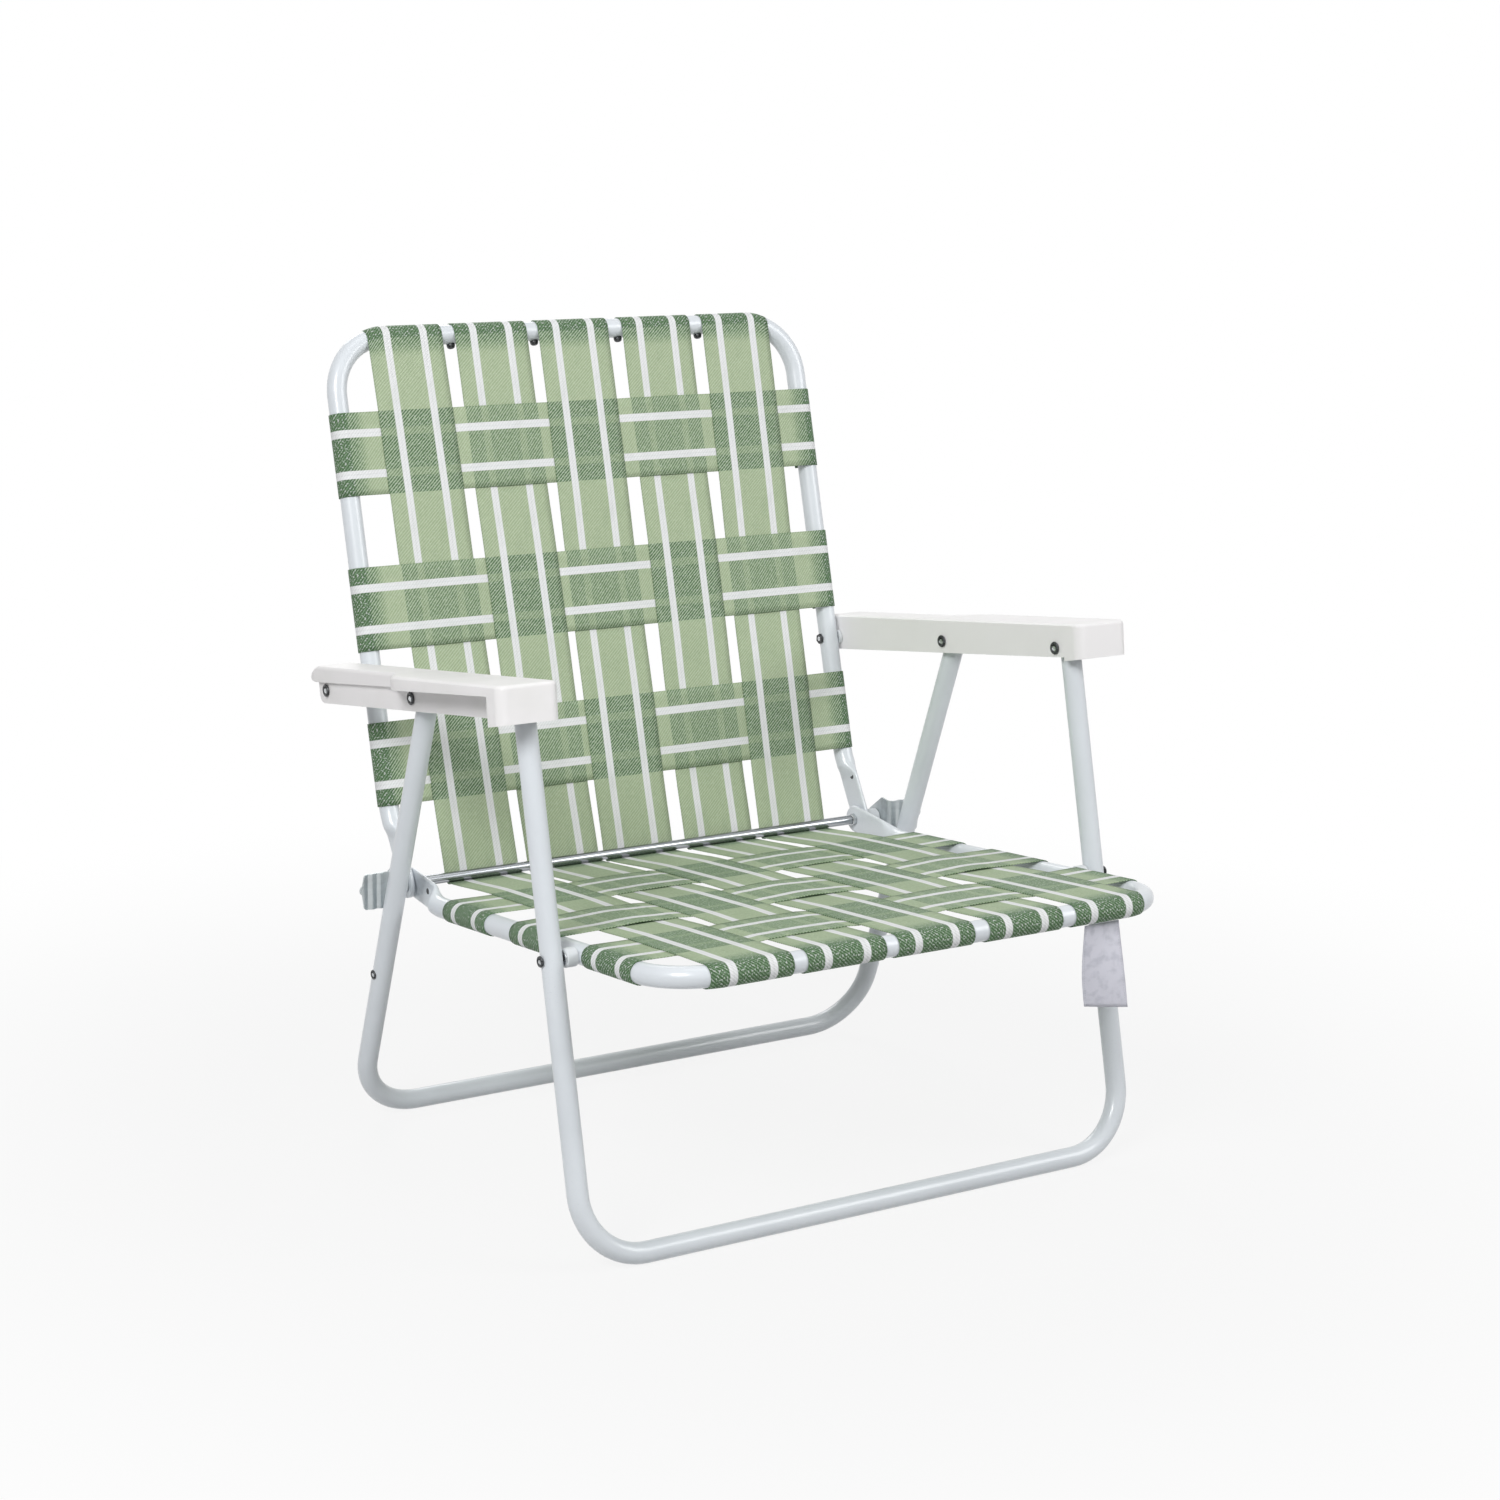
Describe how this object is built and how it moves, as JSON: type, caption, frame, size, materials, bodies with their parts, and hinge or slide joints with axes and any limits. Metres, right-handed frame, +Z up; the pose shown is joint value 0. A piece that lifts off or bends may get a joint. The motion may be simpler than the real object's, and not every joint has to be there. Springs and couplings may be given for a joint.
{
  "type": "folding lawn chair",
  "caption": "Low folding lawn chair: white bent-tube frames, moulded armrests, hinge rod with catch brackets and woven webbing straps on seat and back; the frames fold together.",
  "frame": {"origin": "on the floor, under the middle of the open chair's box", "axes": "+Z up, the sitter faces -Y, +X to the right of someone facing the chair"},
  "size_m": [0.666, 0.6496, 0.7476],
  "materials": {
    "powder_coat": "white powder coat, satin",
    "armrest_plastic": "warm white moulded plastic",
    "nylon": "natural white nylon",
    "zinc": "zinc-plated steel",
    "dark_steel": "blackened spring steel",
    "galvanised": "galvanised steel",
    "webbing": "woven sage-green webbing with white stripes",
    "tag_cloth": "blank white non-woven cloth"
  },
  "bodies": {
    "back": {"back_frame": "powder_coat", "back_long_strap_1": "webbing", "back_long_strap_2": "webbing", "back_long_strap_3": "webbing", "back_long_strap_4": "webbing", "back_long_strap_5": "webbing", "back_cross_strap_1": "webbing", "back_cross_strap_2": "webbing", "back_cross_strap_3": "webbing"},
    "seat": {"seat_frame": "powder_coat", "hinge_rod": "galvanised", "hinge_nut_left": "zinc", "hinge_nut_right": "zinc", "hinge_washer_left": "nylon", "hinge_washer_right": "nylon", "hinge_spacer_left": "nylon", "hinge_spacer_right": "nylon", "catch_bracket_left": "galvanised", "catch_bracket_right": "galvanised", "seat_long_strap_1": "webbing", "seat_long_strap_2": "webbing", "seat_long_strap_3": "webbing", "seat_long_strap_4": "webbing", "seat_long_strap_5": "webbing", "seat_cross_strap_1": "webbing", "seat_cross_strap_2": "webbing", "seat_cross_strap_3": "webbing", "blank_tag": "tag_cloth"},
    "armrest_left": {"armrest_left": "armrest_plastic", "arm_back_bolt_left": "zinc", "arm_back_nut_left": "zinc", "arm_back_spacer_left": "nylon", "arm_rear_pin_left": "zinc", "arm_front_pin_left": "zinc"},
    "armrest_right": {"armrest_right": "armrest_plastic", "arm_back_bolt_right": "zinc", "arm_back_nut_right": "zinc", "arm_back_spacer_right": "nylon", "arm_rear_pin_right": "zinc", "arm_front_pin_right": "zinc"},
    "front_legs": {"front_leg_frame": "powder_coat", "seat_link_bolt_left": "zinc", "seat_link_bolt_right": "zinc", "seat_link_washer_left": "dark_steel", "seat_link_washer_right": "dark_steel", "seat_link_bush_left": "nylon", "seat_link_bush_right": "nylon"},
    "rear_legs": {"rear_leg_frame": "powder_coat"}
  },
  "joints": [
    {"name": "fold", "type": "hinge", "parent": "back", "child": "seat", "pos_m": [0, 0.15734, 0.242], "axis": [-1, 0, 0], "range_deg": [0, 97]},
    {"name": "armrest_left_fold", "type": "hinge", "parent": "back", "child": "armrest_left", "pos_m": [0, 0.22576, 0.419], "axis": [-1, 0, 0], "range_deg": [0, 93.1]},
    {"name": "armrest_right_fold", "type": "hinge", "parent": "back", "child": "armrest_right", "pos_m": [0, 0.22576, 0.419], "axis": [-1, 0, 0], "range_deg": [0, 93.1]},
    {"name": "front_leg_fold", "type": "hinge", "parent": "armrest_left", "child": "front_legs", "pos_m": [0, -0.12377, 0.4685], "axis": [1, 0, 0], "range_deg": [0, 84.7]},
    {"name": "rear_leg_fold", "type": "hinge", "parent": "armrest_left", "child": "rear_legs", "pos_m": [0, 0.04988, 0.445], "axis": [1, 0, 0], "range_deg": [0, 51.4]}
  ],
  "couplings": [
    {"joint": "armrest_left_fold", "follows": "fold", "ratio": 0.9588},
    {"joint": "armrest_right_fold", "follows": "fold", "ratio": 0.9588},
    {"joint": "front_leg_fold", "follows": "fold", "ratio": 0.8721},
    {"joint": "rear_leg_fold", "follows": "fold", "ratio": 0.5288}
  ]
}
